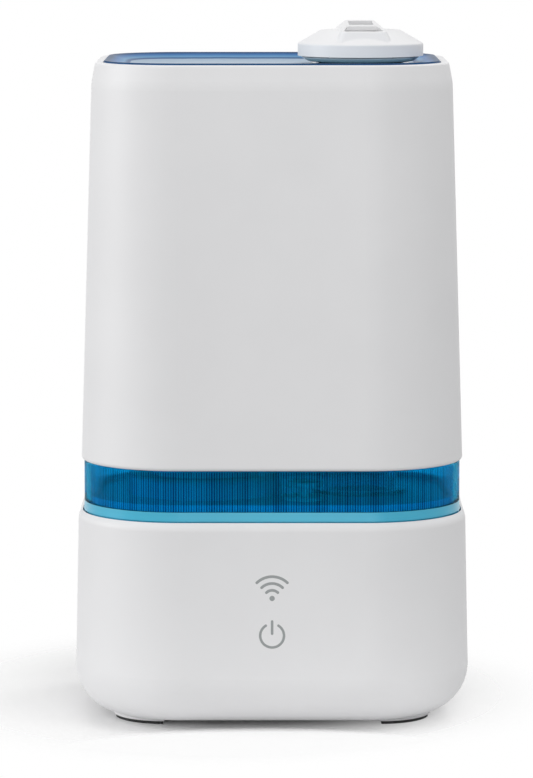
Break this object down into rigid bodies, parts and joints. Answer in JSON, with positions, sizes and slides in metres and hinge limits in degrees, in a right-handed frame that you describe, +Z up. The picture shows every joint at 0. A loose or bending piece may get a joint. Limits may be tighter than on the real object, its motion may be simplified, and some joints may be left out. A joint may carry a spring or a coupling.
{
  "type": "cool mist humidifier",
  "caption": "Tabletop ultrasonic humidifier: rounded white base with touch symbols, lift-off blue-banded water tank, shallow lid and a swivelling off-centre mist nozzle.",
  "frame": {"origin": "middle of the footprint at floor level, under the rubber treads", "axes": "+Z up, -Y towards the front with the touch symbols, +X towards the nozzle side"},
  "size_m": [0.172, 0.148, 0.3041],
  "materials": {
    "white_shell": "satin moulded plastic",
    "symbol_grey": "printed",
    "tank_blue": "clear tinted plastic",
    "lid_blue": "clear tinted plastic",
    "funnel_clear": "clear tinted plastic",
    "strip_blue": "clear tinted plastic",
    "inner_white": "moulded",
    "float_foam": "foam",
    "dark_rubber": "matt",
    "silicone": "soft silicone",
    "steel": "plated",
    "magnet": "plated",
    "black_plastic": "moulded",
    "circuit_board": "solder mask",
    "heat_sink_metal": "extruded",
    "copper_winding": "enamelled wire",
    "transducer_plate": "plated disc",
    "clear_guide": "clear",
    "lead_sheath": "insulation"
  },
  "bodies": {
    "base": {"base_shell": "white_shell", "power_symbol": "symbol_grey", "wireless_symbol": "symbol_grey", "bottom_plate": "inner_white", "basin": "inner_white", "air_duct": "inner_white", "air_outlet_hood": "inner_white", "float_stop": "inner_white", "rubber_feet": "dark_rubber", "basin_gasket": "silicone", "transducer_seal": "silicone", "bottom_screws": "steel", "fan_screws": "steel", "board_screws": "steel", "transducer_screws": "steel", "inlet_nut": "steel", "fan_frame": "black_plastic", "power_inlet": "black_plastic", "board_connectors": "black_plastic", "main_board": "circuit_board", "touch_board": "circuit_board", "level_sensor": "circuit_board", "wireless_module": "circuit_board", "transducer_heat_sink": "heat_sink_metal", "regulator_cooler": "heat_sink_metal", "capacitors": "heat_sink_metal", "driver_coil": "copper_winding", "transducer_disc": "transducer_plate", "light_guide": "clear_guide", "fan_lead": "lead_sheath", "transducer_lead": "lead_sheath", "touch_lead": "lead_sheath", "power_lead": "lead_sheath"},
    "fan_rotor": {"fan_rotor": "black_plastic"},
    "float": {"float_body": "float_foam", "float_magnet": "magnet"},
    "tank": {"tank_bottom": "strip_blue", "tank_body": "tank_blue", "tank_sleeve": "white_shell", "mist_tube": "tank_blue", "mist_tube_gasket": "silicone", "valve_body": "inner_white", "valve_spring": "steel"},
    "valve": {"valve_plunger": "inner_white", "valve_seal": "silicone"},
    "lid": {"lid": "lid_blue", "lid_funnel": "funnel_clear", "lid_seal": "silicone"},
    "nozzle": {"nozzle": "white_shell"}
  },
  "joints": [
    {"name": "fan_spin", "type": "hinge", "parent": "base", "child": "fan_rotor", "pos_m": [-0.03, 0, 0.02], "axis": [0, 0, 1], "continuous": true},
    {"name": "float_rise", "type": "slide", "parent": "base", "child": "float", "axis": [0, 0, 1], "range_m": [0, 0.0054]},
    {"name": "tank_lift", "type": "slide", "parent": "base", "child": "tank", "axis": [0, 0, 1], "range_m": [0, 0.1]},
    {"name": "valve_close", "type": "slide", "parent": "tank", "child": "valve", "axis": [0, 0, 1], "range_m": [-0.0037, 0], "deforming": ["valve_spring"]},
    {"name": "lid_lift", "type": "slide", "parent": "tank", "child": "lid", "axis": [0, 0, 1], "range_m": [0, 0.08]},
    {"name": "nozzle_swivel", "type": "hinge", "parent": "lid", "child": "nozzle", "pos_m": [0.0388, 0, 0.29], "axis": [0, 0, 1], "continuous": true}
  ],
  "couplings": [
    {"joint": "valve_close", "follows": "tank_lift", "ratio": -0.0369}
  ]
}
